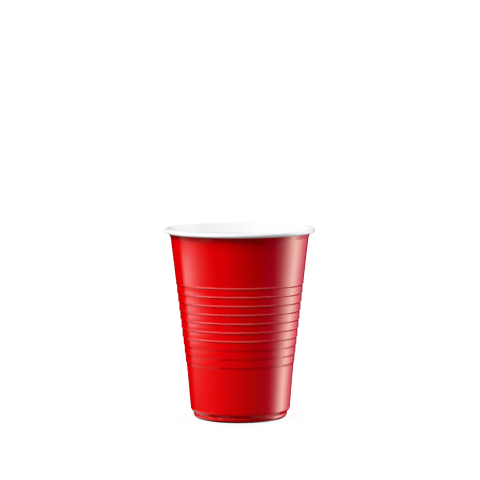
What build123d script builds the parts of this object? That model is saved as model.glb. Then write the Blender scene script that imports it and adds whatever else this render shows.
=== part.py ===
from build123d import *
from math import cos, radians, tan
import os

# A one-piece drinking cup, drawn from one thin plastic sheet and rolled outward at its rim.
# Sizes are in millimetres and angles in degrees. The origin is the middle of the standing ring, +Z up.
# Diameters and radii are those of the outer face. Heights add up from the standing ring to the rim.

# Sheet
sheet_thickness = 0.35

# Rolled rim: the sheet turns outward and down on itself, and its end stops short of the collar
rim_diameter = 95.0
curl_diameter = 2.7
curl_turn = 290.0

# Collar: the short flare below the curl
collar_height = 4.74
collar_draft = 23.0
collar_bend_radius = 1.2

# Plain upper wall
upper_wall_height = 28.25
upper_wall_draft = 6.57

# Grip ridges: each step draws the wall in, with an almost upright band below it
ridge_count = 10
ridge_step_height = 1.4
ridge_step_depth = 0.52
ridge_band_height = 4.09
ridge_band_draft = 1.74

# Plain lower wall
lower_wall_height = 28.5
lower_wall_draft = 4.87

# Heel: below its rounded edge the wall draws in to a groove above the foot
heel_height = 2.4
heel_depth = 2.2
heel_bend_radius = 1.3
groove_height = 0.85
groove_depth = 0.4

# Foot: a round-cornered ring that the cup stands on
foot_corner_radius = 2.2
foot_upright_height = 0.25
foot_ring_width = 5.0

# Raised floor: the sheet rises inside the foot ring, and a round panel stands higher in its middle
floor_rise = 3.1
riser_draft = 8.0
riser_bend_radius = 0.8
panel_margin = 6.0
panel_rise = 0.7


def spread(height, draft):
    return height * tan(radians(draft))


def wall_corners():
    # Levels, from the standing ring up
    foot_top = foot_corner_radius + foot_upright_height
    groove_level = foot_top + groove_height
    heel_level = groove_level + heel_height
    ridge_foot_level = heel_level + lower_wall_height
    ridge_pitch = ridge_step_height + ridge_band_height
    upper_wall_level = ridge_foot_level + ridge_count * ridge_pitch - ridge_band_height
    collar_level = upper_wall_level + upper_wall_height
    collar_top = collar_level + collar_height

    # Radii, from the rim in: the collar meets the curl where it is tangent to it
    curl_inner_radius = curl_diameter / 2 - sheet_thickness
    curl_centre = rim_diameter / 2 - curl_diameter / 2
    collar_top_radius = curl_centre - curl_inner_radius * cos(radians(collar_draft))
    collar_radius = collar_top_radius - spread(collar_height, collar_draft)
    upper_wall_radius = collar_radius - spread(upper_wall_height, upper_wall_draft)
    ridge_taper = spread(ridge_band_height, ridge_band_draft)
    ridge_inset = ridge_step_depth + ridge_taper
    ridge_foot_radius = upper_wall_radius - ridge_count * ridge_inset + ridge_taper
    heel_radius = ridge_foot_radius - spread(lower_wall_height, lower_wall_draft)
    groove_radius = heel_radius - heel_depth
    foot_radius = groove_radius + groove_depth
    riser_foot_radius = foot_radius - foot_ring_width
    floor_radius = riser_foot_radius - spread(floor_rise, riser_draft)
    panel_radius = floor_radius - panel_margin

    # Each corner of the outer face: its radius, its level and how it is rounded
    corners = [
        (0, floor_rise + panel_rise, 0),
        (panel_radius - panel_rise, floor_rise + panel_rise, 0),
        (panel_radius, floor_rise, 0),
        (floor_radius, floor_rise, riser_bend_radius),
        (riser_foot_radius, 0, riser_bend_radius),
        (foot_radius, 0, foot_corner_radius),
        (foot_radius, foot_top, 0),
        (groove_radius, groove_level, 0),
        (heel_radius, heel_level, heel_bend_radius),
    ]
    for ridge in range(ridge_count):
        step_radius = ridge_foot_radius + ridge * ridge_inset
        step_level = ridge_foot_level + ridge * ridge_pitch
        corners.append((step_radius, step_level, 0))
        corners.append((step_radius + ridge_step_depth, step_level + ridge_step_height, 0))
    corners.append((collar_radius, collar_level, collar_bend_radius))
    corners.append((collar_top_radius, collar_top, 0))
    return corners


def inner_corners(corners):
    # The outer face moved in by the sheet's thickness, so that every stretch stays parallel to its own
    points = [Vector(radius, level) for radius, level, bend in corners]
    runs = [(end - start).normalized() for start, end in zip(points, points[1:])]
    before = [runs[0]] + runs
    after = runs + [runs[-1]]
    moved = []
    for (radius, level, bend), point, run_in, run_out in zip(corners, points, before, after):
        bisector = (run_in + run_out).rotate(Axis.Z, 90)
        shift = bisector * (sheet_thickness / (1 + run_in.dot(run_out)))
        turns_in = run_in.cross(run_out).Z > 0
        inner_bend = bend - sheet_thickness if turns_in else bend + sheet_thickness
        moved.append(((point + shift).X, (point + shift).Y, inner_bend if bend else 0))
    return moved


def face_line(corners, curl_radius):
    # One face of the sheet, from the middle of the floor to the end of the curl
    wall = FilletPolyline(
        *[(radius, level) for radius, level, bend in corners],
        radius=[bend for radius, level, bend in corners[1:-1]],
    )
    curl = JernArc(wall @ 1, wall % 1, curl_radius, -curl_turn)
    return wall, curl


def make_cup():
    outer = wall_corners()
    with BuildPart() as cup:
        with BuildSketch(Plane.XZ):
            with BuildLine():
                outer_wall, outer_curl = face_line(outer, curl_diameter / 2 - sheet_thickness)
                inner_wall, inner_curl = face_line(inner_corners(outer), curl_diameter / 2)
                Line(outer_wall @ 0, inner_wall @ 0)
                Line(outer_curl @ 1, inner_curl @ 1)
            make_face()
        revolve(axis=Axis.Z)
    return cup.part


cup = make_cup()
os.makedirs("parts", exist_ok=True)
export_step(cup, "parts/cup.step")
print("cup", cup.bounding_box().size, "volume", round(cup.volume))
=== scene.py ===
import math
import bpy
from mathutils import Matrix, Vector


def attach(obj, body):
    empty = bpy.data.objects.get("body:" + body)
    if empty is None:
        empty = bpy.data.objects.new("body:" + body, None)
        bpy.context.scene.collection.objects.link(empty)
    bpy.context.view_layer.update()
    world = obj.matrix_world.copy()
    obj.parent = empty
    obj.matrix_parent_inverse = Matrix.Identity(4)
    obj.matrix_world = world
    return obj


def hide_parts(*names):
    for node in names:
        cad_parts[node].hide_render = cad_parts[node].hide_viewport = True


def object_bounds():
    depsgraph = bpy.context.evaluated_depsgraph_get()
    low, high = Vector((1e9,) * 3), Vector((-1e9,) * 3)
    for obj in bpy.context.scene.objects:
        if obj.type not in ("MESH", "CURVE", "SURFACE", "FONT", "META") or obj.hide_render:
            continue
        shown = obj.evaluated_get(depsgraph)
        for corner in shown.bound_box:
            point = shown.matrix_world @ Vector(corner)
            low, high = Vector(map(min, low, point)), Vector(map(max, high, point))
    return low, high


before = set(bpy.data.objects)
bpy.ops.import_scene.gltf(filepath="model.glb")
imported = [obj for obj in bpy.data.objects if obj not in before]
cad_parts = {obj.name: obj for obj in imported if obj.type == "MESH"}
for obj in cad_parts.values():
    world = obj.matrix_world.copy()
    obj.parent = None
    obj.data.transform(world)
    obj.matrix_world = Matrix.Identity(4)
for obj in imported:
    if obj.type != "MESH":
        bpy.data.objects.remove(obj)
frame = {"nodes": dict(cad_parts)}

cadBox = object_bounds()
mm = 0.001
print("frame loaded:", ", ".join(frame["nodes"]))


# The cup's section, in millimetres and degrees, measured on the red face. Heights add up from the foot.
cupShape = {
    "sheet": 0.35,
    "rimDiameter": 95.0, "curlDiameter": 2.7, "curlTurn": 290.0,
    "collarHeight": 4.74, "collarDraft": 23.0, "collarBend": 1.2,
    "upperHeight": 28.25, "upperDraft": 6.57,
    "ridges": 10, "stepHeight": 1.4, "stepDepth": 0.52, "grooveBend": 0.7,
    "bandHeight": 4.09, "bandDraft": 1.74, "bandSwell": 0.06, "bandBend": 20.0,
    "softRidges": 3, "softBend": 1.1,
    "lipOut": 0.13, "lipDrop": 0.5, "lipRise": 0.25, "noseBend": 0.35, "lipBend": 0.5,
    "lowerHeight": 28.5, "lowerDraft": 4.87,
    "heelHeight": 2.4, "heelDepth": 2.05, "heelBend": 3.0,
    "neckHeight": 0.4, "neckDepth": 0.25, "neckBend": 0.3,
    "footBend": 2.85, "footUpright": 0.05, "footEdgeBend": 0.075, "footRing": 5.0,
    "floorRise": 3.1, "riserDraft": 8.0, "riserBend": 0.8,
    "panelMargin": 6.0, "panelRise": 0.7, "panelBend": 0.6,
    "leastBend": 0.1, "segments": 180, "bendStep": 9.0, "curlStep": 11.0,
}


def spread(height, draft):
    return height * math.tan(math.radians(draft))


# Each corner of the red face, from the middle of the floor to the curl: radius, level and bend
def redCorners(s):
    footTop = s["footBend"] + s["footUpright"]
    neckLevel = footTop + s["neckHeight"]
    heelLevel = neckLevel + s["heelHeight"]
    ridgeFoot = heelLevel + s["lowerHeight"]
    pitch = s["stepHeight"] + s["bandHeight"]
    upperLevel = ridgeFoot + s["ridges"] * pitch - s["bandHeight"]
    collarLevel = upperLevel + s["upperHeight"]
    panelLevel = s["floorRise"] + s["panelRise"]

    curlInside = s["curlDiameter"] / 2 - s["sheet"]
    curlCentre = (s["rimDiameter"] - s["curlDiameter"]) / 2
    collarTopRadius = curlCentre - curlInside * math.cos(math.radians(s["collarDraft"]))
    collarRadius = collarTopRadius - spread(s["collarHeight"], s["collarDraft"])
    upperRadius = collarRadius - spread(s["upperHeight"], s["upperDraft"])
    taper = spread(s["bandHeight"], s["bandDraft"])
    inset = s["stepDepth"] + taper
    ridgeFootRadius = upperRadius - s["ridges"] * inset + taper
    heelRadius = ridgeFootRadius - spread(s["lowerHeight"], s["lowerDraft"])
    neckRadius = heelRadius - s["heelDepth"]
    footRadius = neckRadius + s["neckDepth"]
    riserRadius = footRadius - s["footRing"]
    floorRadius = riserRadius - spread(s["floorRise"], s["riserDraft"])
    panelRadius = floorRadius - s["panelMargin"]

    corners = [
        (0, panelLevel, 0),
        (panelRadius - s["panelRise"], panelLevel, s["panelBend"]),
        (panelRadius, s["floorRise"], s["panelBend"]),
        (floorRadius, s["floorRise"], s["riserBend"]),
        (riserRadius, 0, s["riserBend"]),
        (footRadius, 0, s["footBend"]),
        (footRadius, footTop, s["footEdgeBend"]),
        (neckRadius, neckLevel, s["neckBend"]),
        (heelRadius, heelLevel, s["heelBend"]),
    ]
    for i in range(s["ridges"]):
        radius, level = ridgeFootRadius + i * inset, ridgeFoot + i * pitch
        edgeRadius, edgeLevel = radius + s["stepDepth"], level + s["stepHeight"]
        corners.append((radius, level, s["grooveBend"]))
        if i < s["softRidges"]:     # the lowest ridges have a plain rounded edge, the others a thin lip
            corners.append((edgeRadius, edgeLevel, s["softBend"]))
        else:
            corners.append((edgeRadius + s["lipOut"], edgeLevel - s["lipDrop"], s["noseBend"]))
            corners.append((edgeRadius, edgeLevel + s["lipRise"], s["lipBend"]))
        if i < s["ridges"] - 1:     # the band above the step swells a little at its middle
            bandMiddle = edgeRadius + taper / 2 + s["bandSwell"]
            corners.append((bandMiddle, edgeLevel + s["bandHeight"] / 2, s["bandBend"]))
    corners.append((collarRadius, collarLevel, s["collarBend"]))
    corners.append((collarTopRadius, collarLevel + s["collarHeight"], 0))
    return corners


# The same corners on the white face, one sheet thickness further in
def whiteCorners(corners, s):
    points = [Vector((r, z)) for r, z, bend in corners]
    runs = [(b - a).normalized() for a, b in zip(points, points[1:])]
    sheet = s["sheet"]
    moved = []
    for i, (r, z, bend) in enumerate(corners):
        runIn, runOut = runs[max(i - 1, 0)], runs[min(i, len(runs) - 1)]
        across = runIn + runOut
        shift = Vector((-across.y, across.x)) * sheet / (1 + runIn.dot(runOut))
        turnsIn = runIn.x * runOut.y - runIn.y * runOut.x > 0
        newBend = max(bend - sheet if turnsIn else bend + sheet, s["leastBend"])
        moved.append((r + shift.x, z + shift.y, newBend if bend else 0))
    return moved


# Points along one face with the way it heads there: straight runs, round bends, then the curl
def facePoints(corners, curlRadius, s):
    points = [Vector((r, z)) for r, z, bend in corners]
    runs = [(b - a).normalized() for a, b in zip(points, points[1:])]
    headings = [math.atan2(run.y, run.x) for run in runs]
    out = [(points[0], headings[0])]
    for i in range(1, len(points) - 1):
        bend = corners[i][2]
        turn = (headings[i] - headings[i - 1] + math.pi) % (2 * math.pi) - math.pi
        side = 1 if turn > 0 else -1
        start = points[i] - runs[i - 1] * bend * math.tan(abs(turn) / 2)
        centre = start + Vector((-runs[i - 1].y, runs[i - 1].x)) * bend * side
        steps = max(2, math.ceil(abs(math.degrees(turn)) / s["bendStep"]))
        for k in range(steps + 1):
            heading = headings[i - 1] + turn * k / steps
            arm = Vector((math.sin(heading), -math.cos(heading))) * bend * side
            out.append((centre + arm, heading))
    centre = points[-1] + Vector((runs[-1].y, -runs[-1].x)) * curlRadius
    steps = math.ceil(s["curlTurn"] / s["curlStep"])
    for k in range(steps + 1):
        heading = headings[-1] - math.radians(s["curlTurn"]) * k / steps
        arm = Vector((-math.sin(heading), math.cos(heading))) * curlRadius
        out.append((centre + arm, heading))
    return out


def makeCup(s):
    corners = redCorners(s)
    curlOutside = s["curlDiameter"] / 2
    red = facePoints(corners, curlOutside - s["sheet"], s)
    white = facePoints(whiteCorners(corners, s), curlOutside, s)
    count = s["segments"]
    verts, normals, faces, finish = [], [], [], []

    def addRing(point, heading, side):
        first = len(verts)
        outward = Vector((math.sin(heading), -math.cos(heading))) * side
        for k in range(count if point.x else 1):
            turn = 2 * math.pi * k / count
            verts.append((point.x * math.cos(turn) * mm, point.x * math.sin(turn) * mm, point.y * mm))
            normals.append((outward.x * math.cos(turn), outward.x * math.sin(turn), outward.y))
        return first

    def joinRings(low, high, side, slot, closed=False):
        for k in range(count):
            n = (k + 1) % count
            face = (low, high + n, high + k) if closed else (low + k, low + n, high + n, high + k)
            faces.append(face if side > 0 else face[::-1])
            finish.append(slot)

    redSlot, whiteSlot = 0, 1
    for points, side, slot in ((red, 1, redSlot), (white, -1, whiteSlot)):
        rings = [addRing(point, heading, side) for point, heading in points]
        for i, (low, high) in enumerate(zip(rings, rings[1:])):
            joinRings(low, high, side, slot, closed=i == 0)     # the first ring is the middle of the floor
    # the cut end of the sheet, inside the curl
    endHeading = red[-1][1] + math.pi / 2
    ends = [addRing(points[-1][0], endHeading, side=1) for points in (red, white)]
    joinRings(*ends, side=1, slot=whiteSlot)

    mesh = bpy.data.meshes.new("cup")
    mesh.from_pydata(verts, [], faces)
    mesh.polygons.foreach_set("material_index", finish)
    mesh.polygons.foreach_set("use_smooth", [True] * len(faces))
    mesh.normals_split_custom_set_from_vertices(normals)
    mesh.update()
    piece = bpy.data.objects.new("party_cup", mesh)
    bpy.context.scene.collection.objects.link(piece)
    return piece


def newMaterial(name):
    material = bpy.data.materials.new(name)
    material.use_nodes = True
    nodes, links = material.node_tree.nodes, material.node_tree.links
    return material, nodes, links, nodes["Principled BSDF"]


def addNoise(nodes, links, scale, detail):
    place = nodes.new("ShaderNodeTexCoord")
    noise = nodes.new("ShaderNodeTexNoise")
    noise.inputs["Scale"].default_value = scale
    noise.inputs["Detail"].default_value = detail
    links.new(place.outputs["Object"], noise.inputs["Vector"])
    return noise.outputs["Fac"]


redFinish = {
    "colour": (0.5, 0.0, 0.0008), "deep": (0.46, 0.0, 0.0006), "ior": 1.5,
    "roughness": 0.07, "roughnessSpread": 0.06,
    "flowScale": 38.0, "flowDetail": 3.0, "flowLow": 0.3, "flowHigh": 0.6,
    "peelScale": 900.0, "peelDetail": 2.0, "peelStrength": 0.02, "peelDepth": 0.0002,
}
whiteFinish = {
    "colour": (0.63, 0.63, 0.645), "deep": (0.618, 0.618, 0.634), "ior": 1.5,
    "roughness": 0.25, "roughnessSpread": 0.04,
    "flowScale": 24.0, "flowDetail": 3.0, "flowLow": 0.3, "flowHigh": 0.6,
}


# Tint and gloss change slowly along the drawn sheet
def sheetMaterial(name, f):
    material, nodes, links, shader = newMaterial(name)
    shader.inputs["IOR"].default_value = f["ior"]
    flow = addNoise(nodes, links, f["flowScale"], f["flowDetail"])
    tint = nodes.new("ShaderNodeValToRGB")
    low, high = tint.color_ramp.elements
    low.color, high.color = (*f["deep"], 1), (*f["colour"], 1)
    low.position, high.position = f["flowLow"], f["flowHigh"]
    links.new(flow, tint.inputs["Fac"])
    links.new(tint.outputs["Color"], shader.inputs["Base Color"])
    gloss = nodes.new("ShaderNodeMapRange")
    gloss.inputs["To Min"].default_value = f["roughness"]
    gloss.inputs["To Max"].default_value = f["roughness"] + f["roughnessSpread"]
    links.new(flow, gloss.inputs["Value"])
    links.new(gloss.outputs["Result"], shader.inputs["Roughness"])
    return material


def addPeel(material, f):
    nodes, links = material.node_tree.nodes, material.node_tree.links
    bump = nodes.new("ShaderNodeBump")
    bump.inputs["Strength"].default_value = f["peelStrength"]
    bump.inputs["Distance"].default_value = f["peelDepth"]
    links.new(addNoise(nodes, links, f["peelScale"], f["peelDetail"]), bump.inputs["Height"])
    links.new(bump.outputs["Normal"], nodes["Principled BSDF"].inputs["Normal"])


cupPiece = makeCup(cupShape)
redGloss = sheetMaterial("redGloss", redFinish)
addPeel(redGloss, redFinish)
cupPiece.data.materials.append(redGloss)
cupPiece.data.materials.append(sheetMaterial("whiteSatin", whiteFinish))
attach(cupPiece, "root")
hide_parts("cup")
print("cup:", len(cupPiece.data.vertices), "points,", len(cupPiece.data.polygons), "faces")


def stageMesh(name, verts, faces, material, glow=None):
    mesh = bpy.data.meshes.new(name)
    mesh.from_pydata(verts, [], faces)
    if glow is not None:
        layer = mesh.attributes.new("glow", "FLOAT_COLOR", "POINT")
        layer.data.foreach_set("color", [v for colour in glow for v in (*colour, 1)])
    mesh.materials.append(material)
    item = bpy.data.objects.new(name, mesh)
    bpy.context.scene.collection.objects.link(item)
    return item


# Seen by one kind of light ray and by nothing else
def seenOnlyBy(item, ray):
    for kind in ("camera", "diffuse", "glossy", "shadow", "transmission", "volume_scatter"):
        setattr(item, "visible_" + kind, kind == ray)


def glowMaterial(name):
    material = bpy.data.materials.new(name)
    material.use_nodes = True
    nodes, links = material.node_tree.nodes, material.node_tree.links
    nodes.remove(nodes["Principled BSDF"])
    light = nodes.new("ShaderNodeEmission")
    glow = nodes.new("ShaderNodeAttribute")
    glow.attribute_name = "glow"
    links.new(glow.outputs["Color"], light.inputs["Color"])
    clear = nodes.new("ShaderNodeBsdfTransparent")
    both = nodes.new("ShaderNodeAddShader")     # clear as well, so that no box hides another
    links.new(light.outputs["Emission"], both.inputs[0])
    links.new(clear.outputs["BSDF"], both.inputs[1])
    links.new(both.outputs["Shader"], nodes["Material Output"].inputs["Surface"])
    return material


# Angles go round the cup from the camera, to the right
def around(angle, radius, level):
    turn = math.radians(angle)
    return (radius * math.sin(turn), -radius * math.cos(turn), level)


# Points between the stops, so that the glow changes evenly
def fineStops(stops, parts=5):
    rgb = [(place, Vector(glow if isinstance(glow, tuple) else (glow,) * 3)) for place, glow in stops]
    fine = []
    for (place, glow), (nextPlace, nextGlow) in zip(rgb, rgb[1:]):
        for k in range(parts):
            share = k / parts
            fine.append((place + (nextPlace - place) * share, glow.lerp(nextGlow, share)))
    return fine + rgb[-1:]


# Curved boxes that show only in the cup's gloss, in metres. The stops give a box's glow at each angle,
# as one value or as red, green and blue, and the levels give the share of it at each height.
# A box with flare gets wider below flareTop, about its middle.
softBoxes = {
    "left_box": {
        "radius": 0.25, "middle": -95, "flare": 7.4, "flareTop": 0.045, "flareDepth": 0.12,
        "stops": [(-115, 0), (-111, 0.75), (-108, 1.6), (-105, 2.25), (-101, 2.5), (-93, 2.5), (-88, 1.95),
                  (-84, 1.6), (-76, 0.85), (-68, 0.43), (-60, 0.17), (-52, 0.05), (-46, 0)],
        "levels": [(-0.07, 0.03), (-0.05, 0.045), (-0.039, 0.07), (-0.028, 0.11), (-0.015, 0.15),
                   (-0.003, 0.22), (0.01, 0.34), (0.017, 0.44), (0.0235, 0.7), (0.029, 0.92), (0.0355, 1),
                   (0.042, 0.97), (0.046, 0.84), (0.05, 0.7), (0.056, 0.4), (0.062, 0.22), (0.066, 0)],
    },
    "right_box": {
        "radius": 0.9, "middle": 105, "flare": -3.2, "flareTop": -0.19, "flareDepth": 0.08,
        "stops": [(30, (0, 0, 0)), (40, (0.02, 0, 0.06)), (55, (0.05, 0, 0.22)), (63, (0.12, 0.08, 0.3)),
                  (66, (0.26, 0.22, 0.45)), (75, (0.85, 0.77, 0.95)), (84, (2.4, 2.3, 2.35)),
                  (94, (4.8, 4.7, 4.4)), (105, (6.5, 6.5, 5.7)), (112, (6.0, 6.0, 5.3)),
                  (119, (3.8, 3.6, 3.4)), (132, (1.3, 1.1, 1.2)), (143, (0.6, 0.4, 0.6)),
                  (154, (0.2, 0.1, 0.25)), (158, (0, 0, 0))],
        "levels": [(-0.7, 0.25), (-0.46, 0.5), (-0.4, 1), (0.9, 1)],
    },
    "front_box": {      # lights the lips of the ridges
        "radius": 0.8,
        "stops": [(-125, 0), (-110, 0.8), (-96, 1.9), (-80, 3.6), (-64, 3.4), (-52, 2.9), (-40, 1.9),
                  (-15, 1.7), (0, 1.7), (20, 1.1), (36, 0.8), (62, 0.8), (75, 0.4), (85, 0)],
        "levels": [(0.03, 0), (0.07, 1), (0.33, 1), (0.38, 0)],
    },
    "heel_box": {       # lights the right end of the heel, from low behind it
        "radius": 0.9,
        "stops": [(80, 0), (105, 0.15), (120, 0.35), (140, 0.9), (165, 1.2), (185, 0.5), (200, 0)],
        "levels": [(-2.4, 0), (-1.5, 0.7), (-0.8, 1), (-0.62, 0)],
    },
    "step_box": {       # lights the undersides of the steps at the left
        "radius": 0.25,
        "stops": [(-165, 0), (-150, 0.5), (-138, 0.75), (-112, 0.75), (-100, 0.55), (-85, 0.5), (-70, 0.35),
                  (-55, 0.15), (-45, 0)],
        "levels": [(-0.32, 0), (-0.25, 0.6), (-0.18, 1), (-0.085, 1), (-0.06, 0)],
    },
    "low_box": {        # a faint light on the undersides of the steps, all round
        "radius": 0.3,
        "stops": [(-180, 0.15), (-90, 0.15), (0, 0.15), (90, 0.15), (180, 0.15)],
        "levels": [(-1.35, 0), (-1.1, 1), (-0.68, 1), (-0.5, 0)],
    },
}


def softBox(name, box):
    columns, rows = fineStops(box["stops"]), fineStops(box["levels"])
    middle, flare = box.get("middle", 0), box.get("flare", 0)
    flareTop, flareDepth = box.get("flareTop", 0), box.get("flareDepth", 0)
    verts, glow = [], []
    for angle, colour in columns:
        for level, share in rows:
            wide = 1 + flare * min(max(flareTop - level, 0), flareDepth)
            verts.append(around(middle + (angle - middle) * wide, box["radius"], level))
            glow.append(colour * share.x)
    n = len(rows)
    faces = [(i * n + k, i * n + k + 1, (i + 1) * n + k + 1, (i + 1) * n + k)
             for i in range(len(columns) - 1) for k in range(n - 1)]
    seenOnlyBy(stageMesh(name, verts, faces, glowMaterial(name + "_glow"), glow), "glossy")


# Light that the floor throws up at the cup, with its glow at each angle
bounceSheet = {
    "inner": 0.031, "outer": 0.25,
    "stops": [(-180, 0.6), (-135, 0.9), (-65, 0.9), (-25, 0.55), (10, 0.5), (40, 0.8), (90, 0.8),
              (180, 0.6)],
}


def makeBounce(s):
    stops = fineStops(s["stops"])
    edges = (s["inner"], s["outer"])
    verts = [around(angle, edge, 0) for angle, colour in stops for edge in edges]
    glow = [colour for angle, colour in stops for edge in edges]
    faces = [(2 * k, 2 * k + 1, 2 * k + 3, 2 * k + 2) for k in range(len(stops) - 1)]
    seenOnlyBy(stageMesh("bounce_sheet", verts, faces, glowMaterial("bounce_glow"), glow), "diffuse")


# An evenly glowing pale floor, with a painted contact shadow of weaker glow close to the foot
paleFloor = {
    "half": 40.0, "white": 0.06, "roughness": 0.9,
    "glow": 1.6, "paintedShadowGlow": 1.2, "shadowStart": 0.026, "shadowEnd": 0.06,
}


def makeFloor(s):
    material, nodes, links, shader = newMaterial("paleFloor")
    shader.inputs["Base Color"].default_value = (*(s["white"],) * 3, 1)
    shader.inputs["Roughness"].default_value = s["roughness"]
    shader.inputs["Specular IOR Level"].default_value = 0
    shader.inputs["Emission Color"].default_value = (1, 1, 1, 1)
    place = nodes.new("ShaderNodeTexCoord")
    reach = nodes.new("ShaderNodeVectorMath")
    reach.operation = "LENGTH"
    links.new(place.outputs["Object"], reach.inputs[0])
    glow = nodes.new("ShaderNodeMapRange")      # painted contact shadow: the floor glows a little less close to the foot
    glow.interpolation_type = "SMOOTHSTEP"
    glow.inputs["From Min"].default_value = s["shadowStart"]
    glow.inputs["From Max"].default_value = s["shadowEnd"]
    glow.inputs["To Min"].default_value = s["paintedShadowGlow"]
    glow.inputs["To Max"].default_value = s["glow"]
    links.new(reach.outputs["Value"], glow.inputs["Value"])
    links.new(glow.outputs["Result"], shader.inputs["Emission Strength"])
    h = s["half"]
    item = stageMesh("floor", [(-h, -h, 0), (h, -h, 0), (h, h, 0), (-h, h, 0)], [(0, 1, 2, 3)], material)
    item.visible_glossy = False
    item.visible_diffuse = False


lamps = {
    "key": {"angle": -52, "lift": 43, "distance": 1.3, "size": 0.9, "power": 42.5},
    "left": {"angle": -92, "lift": 4, "distance": 1.0, "size": 0.5, "power": 1.2},
    "side": {"angle": 100, "lift": 14, "distance": 1.0, "size": 0.5, "power": 10.8},
    "backRight": {"angle": 140, "lift": 12, "distance": 1.5, "size": 0.6, "power": 12},
    "backLeft": {"angle": -155, "lift": 12, "distance": 1.5, "size": 0.8, "power": 14},
}


def areaLamp(name, s):
    data = bpy.data.lights.new(name, "AREA")
    data.shape = "DISK"
    data.size = s["size"]
    data.energy = s["power"]
    lamp = bpy.data.objects.new(name, data)
    lift = math.radians(s["lift"])
    target = (cadBox[0] + cadBox[1]) / 2
    lamp.location = target + Vector(around(s["angle"], math.cos(lift), math.sin(lift))) * s["distance"]
    lamp.rotation_euler = (target - lamp.location).to_track_quat("-Z", "Y").to_euler()
    lamp.visible_glossy = False     # the gloss shows the soft boxes alone
    bpy.context.scene.collection.objects.link(lamp)


studioAir = {"ambient": 0.02, "backdrop": 1.6}


# White behind the cup, and only a little of it as light
def makeAir(s):
    world = bpy.data.worlds.new("studioAir")
    bpy.context.scene.world = world
    world.use_nodes = True
    nodes, links = world.node_tree.nodes, world.node_tree.links
    air = nodes["Background"]
    air.inputs["Color"].default_value = (1, 1, 1, 1)
    path = nodes.new("ShaderNodeLightPath")
    level = nodes.new("ShaderNodeMapRange")
    level.inputs["To Min"].default_value = s["ambient"]
    level.inputs["To Max"].default_value = s["backdrop"]
    links.new(path.outputs["Is Camera Ray"], level.inputs["Value"])
    links.new(level.outputs["Result"], air.inputs["Strength"])
    world.cycles_visibility.glossy = False


makeFloor(paleFloor)
makeAir(studioAir)
for boxName, boxSettings in softBoxes.items():
    softBox(boxName, boxSettings)
makeBounce(bounceSheet)
for lampName, lampSettings in lamps.items():
    areaLamp(lampName, lampSettings)
print("studio: floor,", len(softBoxes), "soft boxes,", len(lamps), "lamps")


photoCamera = {
    "side": 0.00025, "distance": 1.4, "height": 0.2296, "pitch": 4.829, "roll": -0.25,
    "focalPixels": 2250.2, "framePixels": 480, "sensor": 36.0,
}


def makeCamera(c):
    data = bpy.data.cameras.new("photo_camera")
    data.sensor_width = c["sensor"]
    data.lens = c["focalPixels"] * c["sensor"] / c["framePixels"]
    camera = bpy.data.objects.new("photo_camera", data)
    tilt = Matrix.Rotation(math.radians(90 - c["pitch"]), 4, "X")
    roll = Matrix.Rotation(math.radians(c["roll"]), 4, "Z")
    camera.matrix_world = Matrix.Translation((c["side"], -c["distance"], c["height"])) @ tilt @ roll
    bpy.context.scene.collection.objects.link(camera)
    bpy.context.scene.camera = camera


# Bright whites roll off softly, as they do in a photo, and everything darker stays as it is
tone = {"knee": 0.7, "roll": 0.319, "white": 1.6, "stops": 10}


def setTone(t):
    view = bpy.context.scene.view_settings
    view.view_transform = "Standard"
    view.use_curve_mapping = True
    view.curve_mapping.white_level = (t["white"],) * 3
    curve = view.curve_mapping.curves[3]        # red, green and blue together
    for k in range(t["stops"]):
        over = (t["white"] - t["knee"]) * k / t["stops"]
        shown = t["knee"] + t["roll"] * (1 - math.exp(-over / t["roll"]))
        curve.points.new((t["knee"] + over) / t["white"], shown)
    for point in curve.points:
        point.handle_type = "VECTOR"
    view.curve_mapping.update()


makeCamera(photoCamera)
setTone(tone)
print("camera set")
